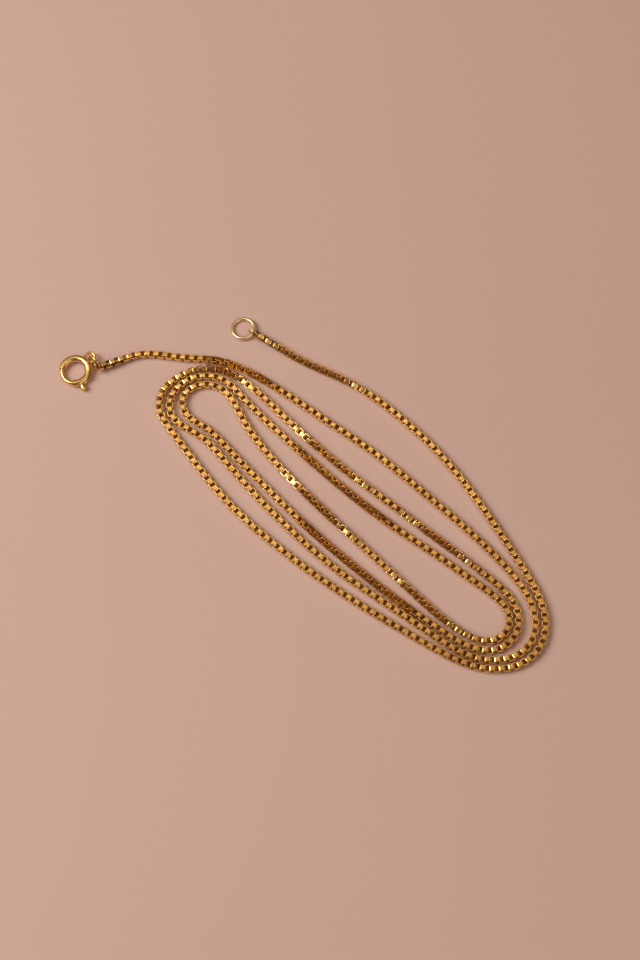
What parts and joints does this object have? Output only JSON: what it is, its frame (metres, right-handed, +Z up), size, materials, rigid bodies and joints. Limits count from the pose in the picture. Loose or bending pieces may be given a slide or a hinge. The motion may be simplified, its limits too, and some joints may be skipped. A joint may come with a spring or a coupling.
{
  "type": "chain necklace",
  "caption": "Fine polished gold box chain necklace with a spring ring clasp and a plain end ring, lying flat in nested oval turns.",
  "frame": {"origin": "middle of the lying necklace's bounding box, on the surface that it rests on", "axes": "+X along the long way of the nested turns, towards their right end; +Y across them, towards the end ring; +Z up from the surface"},
  "size_m": [0.0708, 0.0544, 0.0025],
  "materials": {
    "chain_gold": "polished yellow gold",
    "clasp_gold": "polished yellow gold",
    "pale_gold": "polished, a little paler than the chain",
    "spring_steel": "drawn steel wire"
  },
  "bodies": {
    "coil": {"coil_run_01": "chain_gold", "coil_run_02": "chain_gold", "coil_run_03": "chain_gold", "coil_run_04": "chain_gold", "coil_run_05": "chain_gold", "coil_run_06": "chain_gold", "coil_run_07": "chain_gold", "coil_run_08": "chain_gold", "coil_run_09": "chain_gold", "coil_run_10": "chain_gold", "coil_run_11": "chain_gold", "coil_run_12": "chain_gold", "coil_run_13": "chain_gold", "coil_run_14": "chain_gold", "coil_run_15": "chain_gold", "coil_run_16": "chain_gold", "coil_run_17": "chain_gold", "coil_run_18": "chain_gold", "coil_run_19": "chain_gold", "coil_run_20": "chain_gold"},
    "ring_side_run_4": {"ring_side_run_4": "chain_gold"},
    "ring_side_run_3": {"ring_side_run_3": "chain_gold"},
    "ring_side_run_2": {"ring_side_run_2": "chain_gold"},
    "ring_side_run_1": {"ring_side_run_1": "chain_gold"},
    "ring_side_link_6": {"ring_side_link_6": "chain_gold"},
    "ring_side_link_5": {"ring_side_link_5": "chain_gold"},
    "ring_side_link_4": {"ring_side_link_4": "chain_gold"},
    "ring_side_link_3": {"ring_side_link_3": "chain_gold"},
    "ring_side_link_2": {"ring_side_link_2": "chain_gold"},
    "ring_side_link_1": {"ring_side_link_1": "chain_gold"},
    "tie_ring": {"tie_ring": "pale_gold"},
    "end_ring": {"end_ring": "pale_gold"},
    "clasp_side_run": {"clasp_side_run": "chain_gold"},
    "clasp_side_link_6": {"clasp_side_link_6": "chain_gold"},
    "clasp_side_link_5": {"clasp_side_link_5": "chain_gold"},
    "clasp_side_link_4": {"clasp_side_link_4": "chain_gold"},
    "clasp_side_link_3": {"clasp_side_link_3": "chain_gold"},
    "clasp_side_link_2": {"clasp_side_link_2": "chain_gold"},
    "clasp_side_link_1": {"clasp_side_link_1": "chain_gold"},
    "jump_ring": {"jump_ring": "clasp_gold"},
    "clasp": {"clasp_tube": "clasp_gold", "clasp_stop": "clasp_gold", "clasp_eyelet": "clasp_gold", "clasp_spring": "spring_steel"},
    "clasp_trigger": {"clasp_tongue": "clasp_gold", "clasp_trigger": "clasp_gold"}
  },
  "joints": [
    {"name": "ring_side_run_4_swing", "type": "hinge", "parent": "coil", "child": "ring_side_run_4", "pos_m": [0.03092, -0.01017, 0.00052], "axis": [0, 0, 1], "range_deg": [-12, 1]},
    {"name": "ring_side_run_3_lift", "type": "hinge", "parent": "ring_side_run_4", "child": "ring_side_run_3", "pos_m": [0.02461, -0.00001, 0.00052], "axis": [0.8235, 0.5673, 0], "range_deg": [0, 10]},
    {"name": "ring_side_run_2_swing", "type": "hinge", "parent": "ring_side_run_3", "child": "ring_side_run_2", "pos_m": [0.01693, 0.00914, 0.00052], "axis": [0, 0, 1], "range_deg": [-12, 1]},
    {"name": "ring_side_run_1_lift", "type": "hinge", "parent": "ring_side_run_2", "child": "ring_side_run_1", "pos_m": [0.00758, 0.01654, 0.0006], "axis": [0.4952, 0.8688, 0], "range_deg": [0, 10]},
    {"name": "ring_side_link_6_swing", "type": "hinge", "parent": "ring_side_run_1", "child": "ring_side_link_6", "pos_m": [-0.00295, 0.0222, 0.0007], "axis": [0, 0, 1], "range_deg": [-12, 12]},
    {"name": "ring_side_link_5_lift", "type": "hinge", "parent": "ring_side_link_6", "child": "ring_side_link_5", "pos_m": [-0.00352, 0.02255, 0.00073], "axis": [0.5274, 0.8496, 0], "range_deg": [0, 12]},
    {"name": "ring_side_link_4_swing", "type": "hinge", "parent": "ring_side_link_5", "child": "ring_side_link_4", "pos_m": [-0.00408, 0.0229, 0.00077], "axis": [0, 0, 1], "range_deg": [-12, 12]},
    {"name": "ring_side_link_3_lift", "type": "hinge", "parent": "ring_side_link_4", "child": "ring_side_link_3", "pos_m": [-0.00465, 0.02325, 0.0008], "axis": [0.5194, 0.8545, 0], "range_deg": [0, 12]},
    {"name": "ring_side_link_2_swing", "type": "hinge", "parent": "ring_side_link_3", "child": "ring_side_link_2", "pos_m": [-0.00522, 0.02359, 0.00082], "axis": [0, 0, 1], "range_deg": [-12, 12]},
    {"name": "ring_side_link_1_lift", "type": "hinge", "parent": "ring_side_link_2", "child": "ring_side_link_1", "pos_m": [-0.00579, 0.02393, 0.00082], "axis": [0.5093, 0.8606, 0], "range_deg": [0, 12]},
    {"name": "tie_ring_swing", "type": "hinge", "parent": "ring_side_link_1", "child": "tie_ring", "pos_m": [-0.00616, 0.02415, 0.00078], "axis": [0, 0, 1], "range_deg": [-15, 15]},
    {"name": "end_ring_flip", "type": "hinge", "parent": "tie_ring", "child": "end_ring", "pos_m": [-0.00682, 0.02454, 0.00062], "axis": [0.5076, 0.8616, 0], "range_deg": [0, 60]},
    {"name": "clasp_side_run_swing", "type": "hinge", "parent": "coil", "child": "clasp_side_run", "pos_m": [-0.01674, 0.02051, 0.00052], "axis": [0, 0, 1], "range_deg": [-10, 1]},
    {"name": "clasp_side_link_6_lift", "type": "hinge", "parent": "clasp_side_run", "child": "clasp_side_link_6", "pos_m": [-0.02587, 0.02028, 0.00067], "axis": [-0.393, 0.9196, 0], "range_deg": [0, 12]},
    {"name": "clasp_side_link_5_swing", "type": "hinge", "parent": "clasp_side_link_6", "child": "clasp_side_link_5", "pos_m": [-0.02648, 0.02002, 0.00073], "axis": [0, 0, 1], "range_deg": [-12, 12]},
    {"name": "clasp_side_link_4_lift", "type": "hinge", "parent": "clasp_side_link_5", "child": "clasp_side_link_4", "pos_m": [-0.02709, 0.01975, 0.0008], "axis": [-0.3913, 0.9203, 0], "range_deg": [0, 12]},
    {"name": "clasp_side_link_3_swing", "type": "hinge", "parent": "clasp_side_link_4", "child": "clasp_side_link_3", "pos_m": [-0.0277, 0.0195, 0.00087], "axis": [0, 0, 1], "range_deg": [-12, 12]},
    {"name": "clasp_side_link_2_lift", "type": "hinge", "parent": "clasp_side_link_3", "child": "clasp_side_link_2", "pos_m": [-0.02832, 0.01925, 0.00093], "axis": [-0.3675, 0.93, 0], "range_deg": [0, 12]},
    {"name": "clasp_side_link_1_swing", "type": "hinge", "parent": "clasp_side_link_2", "child": "clasp_side_link_1", "pos_m": [-0.02894, 0.01901, 0.00098], "axis": [0, 0, 1], "range_deg": [-12, 12]},
    {"name": "jump_ring_swing", "type": "hinge", "parent": "clasp_side_link_1", "child": "jump_ring", "pos_m": [-0.02937, 0.01884, 0.00098], "axis": [0, 0, 1], "range_deg": [-15, 15]},
    {"name": "clasp_lift", "type": "hinge", "parent": "jump_ring", "child": "clasp", "pos_m": [-0.03034, 0.01995, 0.00083], "axis": [-0.6691, 0.7431, 0], "range_deg": [0, 30]},
    {"name": "trigger_pull", "type": "hinge", "parent": "clasp", "child": "clasp_trigger", "pos_m": [-0.03291, 0.01841, 0.00065], "axis": [-0.0432, -0.0432, 0.9981], "range_deg": [0, 54], "stiffness_Nm_per_rad": 0.001, "springref_deg": -20.05, "deforming": ["clasp_spring"]}
  ]
}
